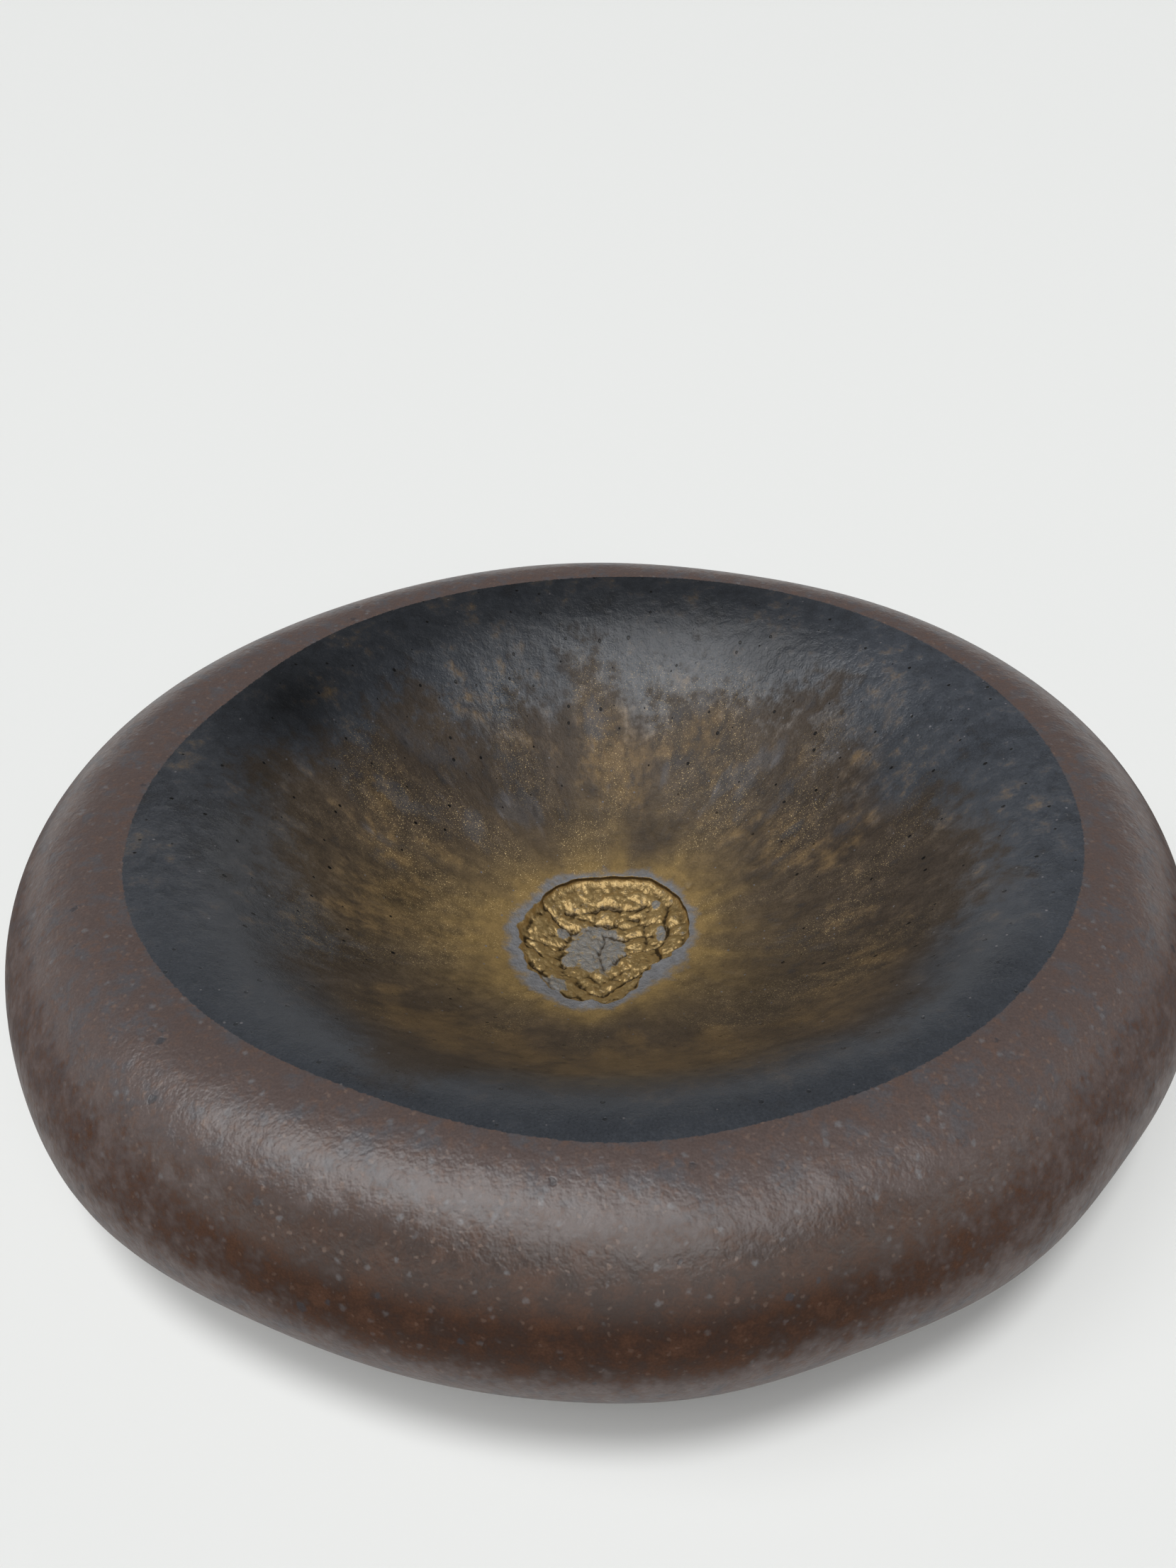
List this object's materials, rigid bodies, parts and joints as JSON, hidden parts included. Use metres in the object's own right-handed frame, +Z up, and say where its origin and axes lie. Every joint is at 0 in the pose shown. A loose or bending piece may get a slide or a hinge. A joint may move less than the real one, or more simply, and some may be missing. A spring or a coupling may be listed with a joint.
{
  "type": "stoneware bowl",
  "caption": "Hand-formed stoneware bowl like a flattened river stone: a thick bare-clay shoulder rolls into a wide dark glazed dish with a small gold crater of torn clay in its middle.",
  "frame": {"origin": "on the table, under the middle of the bowl's outline", "axes": "+Z up out of the dish, the picture looks along +Y, +X to its right"},
  "size_m": [0.3264, 0.3194, 0.075],
  "materials": {
    "stoneware": "bare purple-brown grogged clay outside, satin blue-black glaze with bronze mottling in the dish, gold in the torn crater"
  },
  "bodies": {
    "root": {"bowl": "stoneware"}
  },
  "joints": []
}
